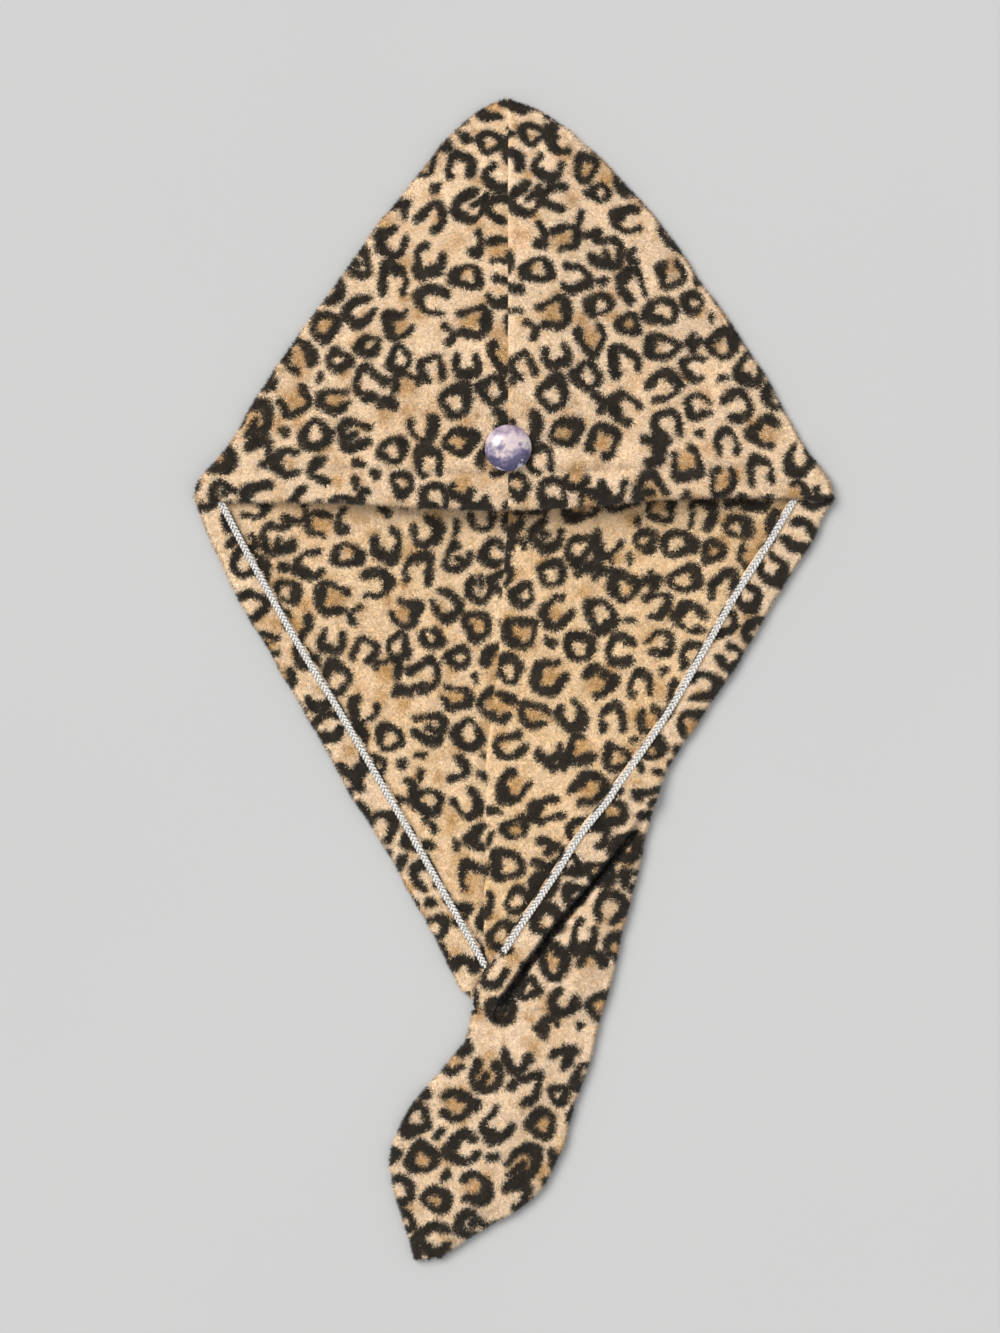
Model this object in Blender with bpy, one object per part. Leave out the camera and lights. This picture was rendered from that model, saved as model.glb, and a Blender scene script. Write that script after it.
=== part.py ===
"""Hair turban towel in fleece, laid flat with its button side up.

Two cloth panels meet in a centre seam. Each folds over at the hood's side and comes back
over the top to the seam. Below the front edge only the lower ply is left, with a turned-in
hem and a thread braid along each side. The right panel folds over again to form the tail.
Lengths are in metres, +Z is up, and the floor is at zero.
"""

import math

import bpy
import numpy as np

# Sizes in plan, measured from the point where the front edge crosses the centre seam
HOOD_LENGTH = 0.1995
LEFT_REACH = 0.1565
RIGHT_REACH = 0.162
MOUTH_LENGTH = 0.255
TAIL_LENGTH = 0.1245
TAIL_WIDTH = 0.066

# Cloth, folds and hems
CLOTH = 0.0024
EDGE_ROUND = 0.0008
FOLD_ROOM = 0.0004
PLY_GAP = 0.0004
SEAM_GAP = 0.0003
FRONT_HEM = 0.017
SIDE_HEM = 0.015
STITCH_DIP = 0.0008

# How far the upper ply stands up
HOOD_PUFF = 0.015
TAIL_PUFF = 0.003
TAIL_LEAST_SWELL = 0.35
TAIL_SWELL_RUN = 0.2
GATHER_DEPTH = 0.0009
LEAN = {-1: -0.07, 1: 0.20}

# Braid and button
BRAID_WIDTH = 0.0042
BRAID_HEIGHT = 0.0013
BRAID_EDGE = 0.7
BUTTON_DIAMETER = 0.023
BUTTON_HEIGHT = 0.0070
BUTTON_UP = 0.024

# Side edges of the hood from the front edge to the tip.
# up: share of HOOD_LENGTH, left: share of LEFT_REACH, right: share of RIGHT_REACH
HOOD_COLUMNS = ("up", "left", "right")
HOOD_SIDES = (
    (0.00, 1.000, 1.000),
    (0.05, 0.980, 0.985),
    (0.14, 0.885, 0.905),
    (0.26, 0.800, 0.825),
    (0.38, 0.695, 0.735),
    (0.50, 0.585, 0.632),
    (0.62, 0.475, 0.532),
    (0.73, 0.370, 0.425),
    (0.81, 0.285, 0.332),
    (0.88, 0.220, 0.248),
    (0.94, 0.142, 0.160),
    (0.98, 0.075, 0.072),
    (1.00, 0.000, 0.000),
)

# Side edges from the front edge down to the tail's root.
# down: share of MOUTH_LENGTH, left and right: share of the way in to the tail's root,
# seam: share of the width from left to right, strip: the same for the right hem's outer edge,
# left_hem and right_hem: how wide the hems lie, straight across, as shares of SIDE_HEM
MOUTH_COLUMNS = ("down", "left", "right", "seam", "strip", "left_hem", "right_hem")
MOUTH_SIDES = (
    (0.00, 0.000, 0.000, 0.494, 1.00, 0.96, 1.39),
    (0.09, 0.068, 0.105, 0.492, 1.00, 1.12, 1.50),
    (0.18, 0.148, 0.230, 0.490, 1.00, 1.22, 1.53),
    (0.30, 0.272, 0.388, 0.484, 1.00, 1.25, 1.49),
    (0.42, 0.405, 0.565, 0.468, 1.00, 1.28, 1.33),
    (0.53, 0.515, 0.720, 0.450, 1.00, 1.35, 1.41),
    (0.58, 0.568, 0.765, 0.442, 1.00, 1.36, 1.66),
    (0.65, 0.652, 0.805, 0.405, 0.93, 1.29, 1.68),
    (0.73, 0.740, 0.850, 0.360, 0.83, 1.24, 1.50),
    (0.81, 0.822, 0.892, 0.300, 0.68, 1.25, 1.25),
    (0.91, 0.920, 0.944, 0.225, 0.44, 1.30, 1.04),
    (1.00, 1.000, 1.000, 0.200, 0.18, 1.30, 0.92),
)

# Side edges of the tail. down: share of TAIL_LENGTH, left and right: share of TAIL_WIDTH,
# seam: share of the width from left to right
TAIL_COLUMNS = ("down", "left", "right", "seam")
TAIL_SIDES = (
    (0.00, -0.280, 0.720, 0.200),
    (0.12, -0.330, 0.662, 0.230),
    (0.24, -0.495, 0.598, 0.270),
    (0.36, -0.705, 0.510, 0.310),
    (0.48, -0.835, 0.452, 0.350),
    (0.60, -0.905, 0.372, 0.380),
    (0.72, -0.872, 0.255, 0.410),
    (0.80, -0.820, 0.080, 0.440),
    (0.90, -0.760, -0.255, 0.480),
    (1.00, -0.715, -0.520, 0.560),
)

# Drop of the front edge in the middle. across: share from the left corner to the right one,
# drop: share of FRONT_HEM
FRONT_COLUMNS = ("across", "drop")
FRONT_EDGE = (
    (0.00, 0.00),
    (0.20, 0.02),
    (0.45, 0.28),
    (0.58, 0.22),
    (0.72, -0.03),
    (0.90, -0.14),
    (1.00, -0.09),
)

# Height of the hood's ridge. up: share of HOOD_LENGTH, height: share of HOOD_PUFF
RIDGE_COLUMNS = ("up", "height")
RIDGE = ((0.00, 0.80), (0.30, 1.00), (0.70, 0.78), (1.00, 0.50))

# Button section. out: share of its radius, height: share of BUTTON_HEIGHT
BUTTON_SECTION = (
    (0.28, 0.00),
    (0.28, 0.17),
    (0.88, 0.20),
    (0.98, 0.27),
    (1.00, 0.36),
    (0.96, 0.47),
    (0.84, 0.66),
    (0.62, 0.84),
    (0.34, 0.96),
)

# Where things start and stop along the mouth, as shares of MOUTH_LENGTH:
# the tail's fold, the right hem's climb onto it, the ends of hems and braids,
# and the place where the tail's upper ply starts to roll down at the left
KINK = 0.58
CLIMB_START = 0.50
CLIMB_END = 0.57
STRIP_END = 0.975
LEFT_HEM_END = 0.965
ROLL_START = 0.985
LEFT_BRAID_END = 0.915
RIGHT_BRAID_END = 0.885

# Shape of the hood's swell, of the gathers at its tip and of the stitched groove:
# the swell's steepness beside the fold, the share of HOOD_LENGTH where the gathers start
# and are full, their number, the groove's width as a share of FRONT_HEM, and the rate at
# which groove and drop come in beside the side fold
SWELL_POWER = 0.8
GATHER_START = 0.7
GATHER_FULL = 0.9
GATHERS = 8
STITCH_WIDTH = 0.2
SOFT_START = 4

# The hood's rows fan out round the tip: they start at the seam this share lower
APEX_FAN = 0.18

# Numbers of cells, and a small step for slopes
LOWER_CELLS = 6
FOLD_CELLS = 4
UPPER_CELLS = 9
HOOD_CELLS = 21
MOUTH_CELLS = 9
CROSSING_CELLS = 11
TAIL_CELLS = 19
HEM_CELLS = 3
HEM_ROWS = 24
BUTTON_CELLS = 32
NUDGE = 0.001
CLOSE_ROW = 0.01

FOLD_RADIUS = CLOTH / 2 + FOLD_ROOM
PLY_STEP = CLOTH + PLY_GAP
FRONT_STEP = CLOTH + 1.5 * PLY_GAP
SEAM_SET = SEAM_GAP / 2 + EDGE_ROUND
HOOD_ROW_STEPS = np.linspace(0.0, 1.0, len(HOOD_SIDES))
REACH = {-1: LEFT_REACH, 1: RIGHT_REACH}
SIDE_NAME = {-1: "left", 1: "right"}


def through(steps, values, at):
    """Smooth curve through values that stand at the given steps."""
    steps = np.asarray(steps)
    values = np.asarray(values)
    slopes = np.gradient(values, steps)
    cell = int(np.clip(np.searchsorted(steps, at, side="right") - 1, 0, len(steps) - 2))
    width = steps[cell + 1] - steps[cell]
    t = (at - steps[cell]) / width
    rise = values[cell + 1] - values[cell]
    start = slopes[cell] * width
    end = slopes[cell + 1] * width
    return values[cell] + t * start + t * t * (3 * rise - 2 * start - end) + t**3 * (start + end - 2 * rise)


def column(table, names, name):
    return [row[names.index(name)] for row in table]


def read(table, names, name, at):
    """Smooth value of one column at a place given in the table's first column."""
    return through(column(table, names, names[0]), column(table, names, name), at)


def ease(value):
    """0 below zero, 1 above one, and a soft step between."""
    value = min(max(value, 0.0), 1.0)
    return value * value * (3 - 2 * value)


def hood_edge(side, step):
    """Point on the hood's side edge. step is 0 at the front edge and 1 at the tip."""
    out = through(HOOD_ROW_STEPS, column(HOOD_SIDES, HOOD_COLUMNS, SIDE_NAME[side]), step)
    up = through(HOOD_ROW_STEPS, column(HOOD_SIDES, HOOD_COLUMNS, "up"), step)
    return np.array([side * REACH[side] * out, HOOD_LENGTH * up])


def side_edge(side, down):
    """Point on the side edge. down is 0 at the front edge, 1 at the tail's root and 2 at its tip."""
    name = SIDE_NAME[side]
    if down > 1:
        share = read(TAIL_SIDES, TAIL_COLUMNS, name, down - 1)
        return np.array([TAIL_WIDTH * share, -MOUTH_LENGTH - TAIL_LENGTH * (down - 1)])
    corner = hood_edge(side, 0)[0]
    root = TAIL_WIDTH * column(TAIL_SIDES, TAIL_COLUMNS, name)[0]
    way = read(MOUTH_SIDES, MOUTH_COLUMNS, name, down)
    return np.array([corner + (root - corner) * way, -MOUTH_LENGTH * down])


def across(down, share):
    """X of a point between the side edges, 0 at the left one and 1 at the right one."""
    left = side_edge(-1, down)[0]
    return left + (side_edge(1, down)[0] - left) * share


def seam_x(down):
    if down > 1:
        return across(down, read(TAIL_SIDES, TAIL_COLUMNS, "seam", down - 1))
    return across(down, read(MOUTH_SIDES, MOUTH_COLUMNS, "seam", down))


def seam_set(down):
    """Sideways distance from the seam line to a panel's edge, larger where the seam slants."""
    sideways = seam_x(down + NUDGE) - seam_x(down - NUDGE)
    along = side_edge(1, down + NUDGE)[1] - side_edge(1, down - NUDGE)[1]
    return SEAM_SET * math.hypot(1.0, sideways / along)


def hem_edge(side, down):
    """Outer edge of a side hem. The right one leaves the outline at the kink."""
    edge = side_edge(side, down)
    if side > 0:
        share = min(read(MOUTH_SIDES, MOUTH_COLUMNS, "strip", down), 1.0)
        edge = np.array([across(down, share), edge[1]])
    return edge


def leaving(edge, side, at):
    """Unit direction that leaves the cloth square to an edge."""
    run = edge(side, at + NUDGE) - edge(side, at - NUDGE)
    square = np.array([run[1], -run[0]]) / np.linalg.norm(run)
    return square if side * square[0] > 0 else -square


def hem_inner(side, down):
    """X of a side hem's raw edge."""
    width = SIDE_HEM * read(MOUTH_SIDES, MOUTH_COLUMNS, SIDE_NAME[side] + "_hem", down)
    inner = hem_edge(side, down)[0] - side * width
    if side > 0:
        return inner
    return min(inner, hem_inner(1, down) - SEAM_GAP - 2 * EDGE_ROUND)


def fold_radius(up):
    """The side fold is wider at the corners, where it holds the turned-under hem."""
    corner = 1 - ease(up * HOOD_LENGTH / FRONT_HEM - 1)
    return FOLD_RADIUS + (FRONT_STEP - FOLD_RADIUS) * corner


def hood_height(side, step, up, share):
    """Middle height of the hood's upper ply. share is 0 at the side fold and 1 at the seam."""
    ridge = read(RIDGE, RIDGE_COLUMNS, "height", up)
    swell = ridge * math.sin(math.pi / 2 * share**SWELL_POWER) ** 2
    swell += LEAN[side] * math.sin(math.pi * share) * (1 - up) ** 2
    near_tip = ease((up - GATHER_START) / (GATHER_FULL - GATHER_START))
    near_tip *= math.sin(math.pi * min(share, 1.0)) ** 2
    gathers = math.sin(math.pi * up) * math.cos(2 * math.pi * step * GATHERS)
    from_stitch = (up * HOOD_LENGTH / FRONT_HEM - 1) / STITCH_WIDTH
    stitch = math.exp(-(from_stitch**2)) * ease(share * SOFT_START)
    height = CLOTH / 2 + 2 * fold_radius(up) + HOOD_PUFF * swell
    return height + GATHER_DEPTH * near_tip * gathers - STITCH_DIP * stitch


def hood_top_point(side, step, share):
    """Point in the middle of the hood's upper ply."""
    turn, start, up = hood_turns(side, step)[:3]
    spot = turn + (start - turn) * share
    place = (spot[0] + LEFT_REACH) / (LEFT_REACH + RIGHT_REACH)
    drop = FRONT_HEM * read(FRONT_EDGE, FRONT_COLUMNS, "drop", place)
    drop *= ease(share * 2 * SOFT_START)
    fade = max(1 - up * HOOD_LENGTH / (3 * FRONT_HEM), 0.0) ** 2
    height = hood_height(side, step, up, share)
    return [side * max(side * spot[0], SEAM_SET), spot[1] - drop * fade, height]


def hood_turns(side, step):
    """Where one row of the hood turns up into the fold, where it starts at the seam, and more."""
    edge = hood_edge(side, step)
    up = edge[1] / HOOD_LENGTH
    if step > 1 - NUDGE:
        away = np.array([0.0, 1.0])
    else:
        away = leaving(hood_edge, side, step)
    radius = fold_radius(up)
    turn = edge - away * (radius + CLOTH / 2)
    start = np.array([side * SEAM_SET, edge[1] * (1 - APEX_FAN)])
    return turn, start, up, away, radius


def fold_points(turn, away, radius, angles):
    """Half circle that turns the cloth over at an edge."""
    points = []
    for angle in angles:
        spot = turn + away * radius * math.sin(angle)
        points.append([spot[0], spot[1], CLOTH / 2 + radius * (1 - math.cos(angle))])
    return points


def flat_points(start, end, cells):
    """Row of points in the middle of the lower ply."""
    spots = [start + (end - start) * share for share in np.linspace(0, 1, cells + 1)]
    return [[spot[0], spot[1], CLOTH / 2] for spot in spots]


FOLD_ANGLES = np.linspace(0, math.pi, FOLD_CELLS + 1)
ABSENT = [math.nan] * 3


def hood_row(side, step):
    turn, start, up, away, radius = hood_turns(side, step)
    points = flat_points(start, turn, LOWER_CELLS)
    points += fold_points(turn, away, radius, FOLD_ANGLES[1:-1])
    points += [hood_top_point(side, step, share) for share in np.linspace(0, 1, UPPER_CELLS + 1)]
    for point in points:
        point[0] = side * max(side * point[0], SEAM_SET)
    return points + [ABSENT] * FOLD_CELLS


def lower_row(side, down):
    """Row of the left or right panel below the front edge."""
    edge = side_edge(side, down)
    away = leaving(side_edge, side, down)
    start = np.array([seam_x(down) + side * seam_set(down), edge[1]])
    if side < 0 and down >= ROLL_START:
        inset = FOLD_RADIUS + CLOTH / 2 + SEAM_GAP + 2 * EDGE_ROUND
    elif side > 0 and down >= KINK:
        inset = FOLD_RADIUS + CLOTH / 2
    else:
        inset = EDGE_ROUND
    turn = edge - away * inset
    points = flat_points(start, turn, LOWER_CELLS)
    if side < 0 or down < KINK:
        return points + [ABSENT] * (2 * FOLD_CELLS + UPPER_CELLS)
    points += fold_points(turn, away, FOLD_RADIUS, FOLD_ANGLES[1:-1])
    left_away = leaving(side_edge, -1, max(down, 1.0 + NUDGE))
    left_turn = side_edge(-1, down) - left_away * (FOLD_RADIUS + CLOTH / 2)
    end = left_turn
    if down < 1:
        end = np.array([max(hem_inner(1, down), left_turn[0]), edge[1]])
    for share in np.linspace(0, 1, UPPER_CELLS + 1):
        spot = turn + (end - turn) * share
        points.append([spot[0], spot[1], tail_height(down, spot[0], turn[0], end[0])])
    if down < 1:
        return points + [ABSENT] * FOLD_CELLS
    return points + fold_points(left_turn, left_away, FOLD_RADIUS, FOLD_ANGLES[-2::-1])


def tail_height(down, x, right, left):
    """Middle height of the tail's upper ply: flat under the strip and swollen beside it."""
    if down < 1:
        left = hem_edge(1, down)[0]
        swell = ease((down - KINK) / TAIL_SWELL_RUN)
    else:
        root = ease((down - 1) / TAIL_SWELL_RUN)
        tip = ease((2 - down) / TAIL_SWELL_RUN)
        swell = TAIL_LEAST_SWELL + (1 - TAIL_LEAST_SWELL) * root * tip
    width = max(right - left - 2 * CLOTH, EDGE_ROUND)
    share = min(max((right - x) / width, 0.0), 1.0)
    swell *= min(width / (TAIL_WIDTH / 4), 1.0)
    return CLOTH / 2 + 2 * FOLD_RADIUS + TAIL_PUFF * swell * math.sin(math.pi * share) ** 2


def hem_height(side, down):
    """Middle height of a side hem, which climbs onto the tail on the right."""
    climb = ease((down - CLIMB_START) / (CLIMB_END - CLIMB_START)) if side > 0 else 0.0
    return CLOTH / 2 + PLY_STEP + 2 * FOLD_RADIUS * climb


def hood_steps():
    """Rows of the hood: a few across the front hem, then even ones up to the tip."""
    fine = np.linspace(0, 1, 400)
    heights = [hood_edge(1, step)[1] for step in fine]
    hem_rows = np.interp([FRONT_HEM * third / 3 for third in range(5)], heights, fine)
    rest = np.linspace(hem_rows[-1], 1, HOOD_CELLS)[1:]
    return list(hem_rows), list(rest)


def lower_steps(side):
    """Rows below the front edge, with a close pair of rows where the tail's fold starts."""
    first = (CLOTH + EDGE_ROUND) / MOUTH_LENGTH
    steps = [first] + list(np.linspace(CLOSE_ROW * 5, KINK - CLOSE_ROW, MOUTH_CELLS))
    steps += list(np.linspace(KINK, 1, CROSSING_CELLS)[:-1]) + [ROLL_START]
    steps += list(np.linspace(1, 2, TAIL_CELLS))
    if side > 0:
        return steps
    return [step for step in steps if abs(step - KINK) > NUDGE]


def panel(side):
    hem_rows, rest = hood_steps()
    rows = [hood_row(side, step) for step in rest[::-1] + hem_rows[::-1]]
    rows += [lower_row(side, down) for down in lower_steps(side)]
    return np.array(rows)


def hem_steps(end):
    """Rows of a side hem and of the braid on it, which end together or the braid a little sooner."""
    first = (SEAM_GAP + 3 * EDGE_ROUND) / MOUTH_LENGTH
    steps = np.linspace(first, STRIP_END, HEM_ROWS)
    return [step for step in steps if step < end - CLOSE_ROW] + [end]


def side_hem(side, end):
    """Strip along one side of the opening."""
    rows = []
    for down in hem_steps(end):
        edge = hem_edge(side, down)
        outer = edge[0] - side * EDGE_ROUND
        inner = hem_inner(side, down) + side * EDGE_ROUND
        height = hem_height(side, down)
        places = np.linspace(outer, inner, HEM_CELLS + 1)
        rows.append([[x, edge[1], height] for x in places])
    return np.array(rows)


def braid(side, end):
    """Raised thread braid on the raw edge of a side hem."""
    rows = []
    for down in hem_steps(end):
        y = hem_edge(side, down)[1]
        slant = abs(leaving(hem_edge, side, down)[0])
        middle = hem_inner(side, down) + side * BRAID_WIDTH / 2 / slant
        reach = (BRAID_WIDTH / 2 - EDGE_ROUND / 2) / slant
        height = hem_height(side, down) + CLOTH / 2 + SEAM_GAP + BRAID_HEIGHT / 2
        rows.append([[middle + reach * place, y, height] for place in (-1, 0, 1)])
    return np.array(rows)


def front_hem():
    """Strip turned under the hood's front edge, from one side fold to the other."""
    hem_rows = hood_steps()[0][:4]
    rows = []
    for step in hem_rows:
        row = []
        for side in (-1, 1):
            turn, start, _, away, _ = hood_turns(side, step)
            first = (EDGE_ROUND + SEAM_GAP) / abs(away[0] * (turn[0] - start[0]))
            shares = np.linspace(first, 1, UPPER_CELLS + 1)
            half = [hood_top_point(side, step, share) for share in shares]
            row += half if side < 0 else half[::-1]
        rows.append([[x, y, z - FRONT_STEP] for x, y, z in row])
    return np.array(rows)


def grid_cells(points):
    """Cells of the grid whose four corners are all there."""
    there = ~np.isnan(points[:, :, 0])
    cells = []
    for row in range(points.shape[0] - 1):
        for place in range(points.shape[1] - 1):
            if there[row : row + 2, place : place + 2].all():
                cells.append(((row, place), (row, place + 1), (row + 1, place + 1), (row + 1, place)))
    return cells


def unit(vector):
    return vector / np.linalg.norm(vector)


def sheet_body(points, thickness, edge_round):
    """Closed body around a grid of middle points, with rounded edges."""
    cells = grid_cells(points)
    normals = {}
    for cell in cells:
        a, b, c, d = (points[key] for key in cell)
        normal = np.cross(c - a, d - b)
        for key in cell:
            normals[key] = normals.get(key, 0) + unit(normal)
    normals = {key: unit(normal) for key, normal in normals.items()}
    edges = {(cell[i], cell[(i + 1) % 4]) for cell in cells for i in range(4)}
    rim_edges = [(a, b) for a, b in sorted(edges) if (b, a) not in edges]
    away = {}
    for a, b in rim_edges:
        out = unit(np.cross(points[b] - points[a], normals[a] + normals[b]))
        away[a] = away.get(a, 0) + out
        away[b] = away.get(b, 0) + out
    corners = []
    number = {}
    for key in sorted(normals):
        half = normals[key] * thickness[key] / 2
        number["top", key] = len(corners)
        corners.append(points[key] + half)
        number["under", key] = len(corners)
        corners.append(points[key] - half)
    for key in sorted(away):
        number["rim", key] = len(corners)
        corners.append(points[key] + unit(away[key]) * edge_round)
    faces = []
    for cell in cells:
        faces.append([number["top", key] for key in cell])
        faces.append([number["under", key] for key in reversed(cell)])
    for a, b in rim_edges:
        for upper, lower in (("top", "rim"), ("rim", "under")):
            faces.append([number[upper, b], number[upper, a], number[lower, a], number[lower, b]])
    return corners, faces


def button_body():
    """Domed button turned round its axis, with a short shank below."""
    shank = BUTTON_SECTION[0][0] * BUTTON_DIAMETER / 2
    near = 1 - shank / LEFT_REACH
    under = [
        hood_top_point(side, hood_step_at(BUTTON_UP + up), share)[2]
        for side in (-1, 1)
        for up in (-shank, 0.0, shank)
        for share in (near, 1.0)
    ]
    height = max(under) + CLOTH / 2 + SEAM_GAP
    corners = [[0, BUTTON_UP, height], [0, BUTTON_UP, height + BUTTON_HEIGHT]]
    for out, up in BUTTON_SECTION:
        for turn in np.linspace(0, 2 * math.pi, BUTTON_CELLS, endpoint=False):
            radius = out * BUTTON_DIAMETER / 2
            spot = [radius * math.cos(turn), BUTTON_UP + radius * math.sin(turn)]
            corners.append(spot + [height + up * BUTTON_HEIGHT])
    faces = []
    last = 2 + (len(BUTTON_SECTION) - 1) * BUTTON_CELLS
    for i in range(BUTTON_CELLS):
        j = (i + 1) % BUTTON_CELLS
        faces.append([0, 2 + j, 2 + i])
        faces.append([1, last + i, last + j])
        for ring in range(len(BUTTON_SECTION) - 1):
            low = 2 + ring * BUTTON_CELLS
            high = low + BUTTON_CELLS
            faces.append([low + i, low + j, high + j, high + i])
    return corners, faces


def hood_step_at(height):
    """Hood row whose end at the seam has this distance from the front edge."""
    fine = np.linspace(0, 1, 400)
    return float(np.interp(height, [hood_turns(1, step)[1][1] for step in fine], fine))


def coloured(name, colour, roughness, sheen):
    material = bpy.data.materials.new(name)
    material.use_nodes = True
    shader = material.node_tree.nodes["Principled BSDF"]
    shader.inputs["Base Color"].default_value = (*colour, 1.0)
    shader.inputs["Roughness"].default_value = roughness
    shader.inputs["Sheen Weight"].default_value = sheen
    return material


def cloth_body(points):
    return sheet_body(points, np.full(points.shape[:2], CLOTH), EDGE_ROUND)


def braid_body(points):
    """Strip that is thickest along its middle."""
    thickness = np.full(points.shape[:2], BRAID_HEIGHT * BRAID_EDGE)
    thickness[:, 1] = BRAID_HEIGHT
    return sheet_body(points, thickness, EDGE_ROUND / 2)


for old in list(bpy.data.objects):
    bpy.data.objects.remove(old, do_unlink=True)

FLEECE = ((0.79, 0.57, 0.34), 0.95, 0.5)
THREAD = ((0.80, 0.79, 0.78), 0.6, 0.2)
RESIN = ((0.55, 0.48, 0.62), 0.15, 0.0)

bodies = {
    "left_panel": (cloth_body(panel(-1)), FLEECE),
    "right_panel": (cloth_body(panel(1)), FLEECE),
    "front_hem": (cloth_body(front_hem()), FLEECE),
    "left_hem": (cloth_body(side_hem(-1, LEFT_HEM_END)), FLEECE),
    "right_hem": (cloth_body(side_hem(1, STRIP_END)), FLEECE),
    "left_overlock": (braid_body(braid(-1, LEFT_BRAID_END)), THREAD),
    "right_overlock": (braid_body(braid(1, RIGHT_BRAID_END)), THREAD),
    "button": (button_body(), RESIN),
}

every_corner = np.array([corner for body in bodies.values() for corner in body[0][0]])
low = every_corner.min(axis=0)
high = every_corner.max(axis=0)
origin = np.array([(low[0] + high[0]) / 2, (low[1] + high[1]) / 2, low[2]])

for name, ((corners, faces), (colour, roughness, sheen)) in bodies.items():
    mesh = bpy.data.meshes.new(name)
    places = np.array(corners) - origin
    mesh.from_pydata([tuple(place) for place in places.tolist()], [], faces)
    mesh.update()
    signed = sum(
        np.dot(corners[face[0]], np.cross(corners[face[i]], corners[face[i + 1]]))
        for face in faces
        for i in range(1, len(face) - 1)
    )
    if signed < 0:
        mesh.flip_normals()
    mesh.materials.append(coloured(name, colour, roughness, sheen))
    mesh.shade_smooth()
    bpy.context.scene.collection.objects.link(bpy.data.objects.new(name, mesh))
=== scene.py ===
"""Looks of the hair turban towel: fleece with its pile and printed pattern, braided edges and
a pearly button, with the floor, light and camera of the photograph."""

import math

import bpy
import numpy as np
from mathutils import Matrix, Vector


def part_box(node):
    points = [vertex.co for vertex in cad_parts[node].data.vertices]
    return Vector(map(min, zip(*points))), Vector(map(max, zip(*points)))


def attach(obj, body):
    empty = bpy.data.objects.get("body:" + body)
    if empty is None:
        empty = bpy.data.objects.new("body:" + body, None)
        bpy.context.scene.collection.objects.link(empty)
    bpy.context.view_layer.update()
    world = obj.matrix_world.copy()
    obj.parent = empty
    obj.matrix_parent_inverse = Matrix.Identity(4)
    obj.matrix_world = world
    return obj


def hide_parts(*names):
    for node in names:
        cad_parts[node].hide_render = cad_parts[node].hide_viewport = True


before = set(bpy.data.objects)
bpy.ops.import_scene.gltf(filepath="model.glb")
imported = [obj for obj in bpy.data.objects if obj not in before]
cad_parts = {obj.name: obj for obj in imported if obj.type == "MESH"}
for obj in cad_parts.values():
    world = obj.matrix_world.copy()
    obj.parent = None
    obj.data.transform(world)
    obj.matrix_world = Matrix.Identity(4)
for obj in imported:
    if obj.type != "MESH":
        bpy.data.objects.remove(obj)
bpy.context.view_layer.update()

random = np.random.default_rng(41)

# Sizes in metres, as in the solids
HOOD_LENGTH = 0.1995
LEFT_REACH = 0.1565
RIGHT_REACH = 0.162
MOUTH_LENGTH = 0.255
TAIL_LENGTH = 0.1245
TAIL_WIDTH = 0.066
CLOTH = 0.0024
GROUND = 0.0012
FOLD_ROOM = 0.0004
PLY_GAP = 0.0004
FRONT_HEM = 0.017
SIDE_HEM = 0.015
STITCH_DIP = 0.0020
HOOD_PUFF = 0.015
TAIL_PUFF = 0.003
TAIL_LEAST_SWELL = 0.35
TAIL_SWELL_RUN = 0.2
GATHER_DEPTH = 0.0009
LEAN = {-1: -0.07, 1: 0.20}
BRAID_HEIGHT = 0.0013
BUTTON_DIAMETER = 0.023
BUTTON_HEIGHT = 0.0070
BUTTON_UP = 0.024
MM = 0.001

# Shares of the way up the hood, or down the mouth's sides
KINK = 0.58
CLIMB_START = 0.50
CLIMB_END = 0.57
STRIP_END = 0.975
LEFT_HEM_END = 0.965
ROLL_START = 0.985
LEFT_BRAID_END = 0.915
RIGHT_BRAID_END = 0.885
SWELL_POWER = 0.8
GATHER_START = 0.7
GATHER_FULL = 0.9
STITCH_WIDTH = 0.16
APEX_FAN = 0.18
NUDGE = 0.001
GATHERS = 8
SOFT_START = 4

FOLD_RADIUS = CLOTH / 2 + FOLD_ROOM
PLY_STEP = CLOTH + PLY_GAP
FRONT_STEP = CLOTH + 1.5 * PLY_GAP
SEAM_SET = 0.00015
SEAM_DEPTH = 0.8 * MM
SEAM_HALF = 2.5 * MM
REACH = {-1: LEFT_REACH, 1: RIGHT_REACH}
SIDE_NAME = {-1: "left", 1: "right"}

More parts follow.
